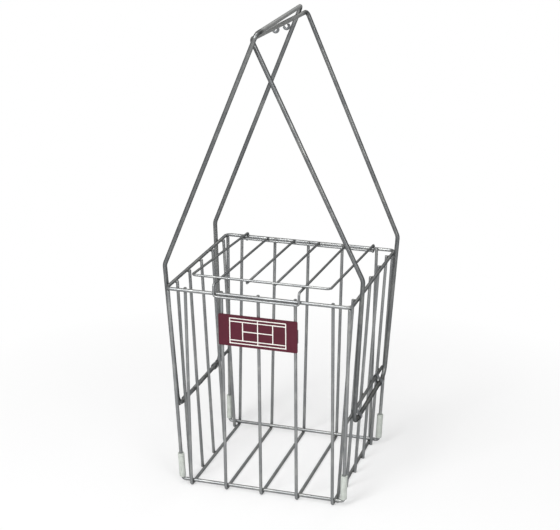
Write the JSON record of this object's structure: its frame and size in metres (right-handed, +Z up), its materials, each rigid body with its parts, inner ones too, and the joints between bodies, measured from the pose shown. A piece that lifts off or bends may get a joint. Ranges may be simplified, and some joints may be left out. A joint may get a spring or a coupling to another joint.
{
  "type": "tennis ball hopper",
  "caption": "Wire ball basket with a hinged grille lid and two tall wire handles that swing down to become legs; open floor wires take up balls.",
  "frame": {"origin": "on the floor under the middle of the basket, at the bottom of the middle floor wire", "axes": "+Z up, the front with the sign faces -Y, +X to the right seen from the front"},
  "size_m": [0.362, 0.3476, 0.8539],
  "materials": {
    "coated_wire": "satin grey coating on steel wire",
    "bright_steel": "bare zinc grey steel",
    "pale_plastic": "pale grey, a little translucent",
    "maroon_plastic": "maroon, soft gloss"
  },
  "bodies": {
    "basket": {"top_rim": "coated_wire", "front_frame_wire": "coated_wire", "back_frame_wire": "coated_wire", "cage_wire_1": "coated_wire", "cage_wire_2": "coated_wire", "cage_wire_3": "coated_wire", "cage_wire_4": "coated_wire", "cage_wire_5": "coated_wire", "left_rib_1": "coated_wire", "left_rib_2": "coated_wire", "left_rib_3": "coated_wire", "left_rib_4": "coated_wire", "left_rib_5": "coated_wire", "right_rib_1": "coated_wire", "right_rib_2": "coated_wire", "right_rib_3": "coated_wire", "right_rib_4": "coated_wire", "right_rib_5": "coated_wire", "left_belt_wire": "coated_wire", "right_belt_wire": "coated_wire", "left_pivot_clip_front": "bright_steel", "left_pivot_clip_back": "bright_steel", "right_pivot_clip_front": "bright_steel", "right_pivot_clip_back": "bright_steel", "front_left_sleeve": "pale_plastic", "front_right_sleeve": "pale_plastic", "back_left_sleeve": "pale_plastic", "back_right_sleeve": "pale_plastic", "sign_plate": "maroon_plastic"},
    "lid": {"lid_frame_wire": "coated_wire", "lid_cross_wire": "coated_wire", "lid_inner_wire_left": "coated_wire", "lid_inner_wire_right": "coated_wire", "lid_latch_wire": "coated_wire"},
    "left_handle": {"left_handle": "coated_wire"},
    "right_handle": {"right_handle": "coated_wire", "front_catch_hook": "bright_steel", "rear_catch_hook": "bright_steel"}
  },
  "joints": [
    {"name": "lid_hinge", "type": "hinge", "parent": "basket", "child": "lid", "pos_m": [0, 0.1655, 0.39], "axis": [-1, 0, 0], "range_deg": [0, 67]},
    {"name": "left_handle_swing", "type": "hinge", "parent": "basket", "child": "left_handle", "pos_m": [-0.16262, -0.009, 0.15], "axis": [0, -1, 0], "range_deg": [0, 175]},
    {"name": "right_handle_swing", "type": "hinge", "parent": "basket", "child": "right_handle", "pos_m": [0.16262, 0.009, 0.15], "axis": [0, 1, 0], "range_deg": [0, 175]}
  ]
}
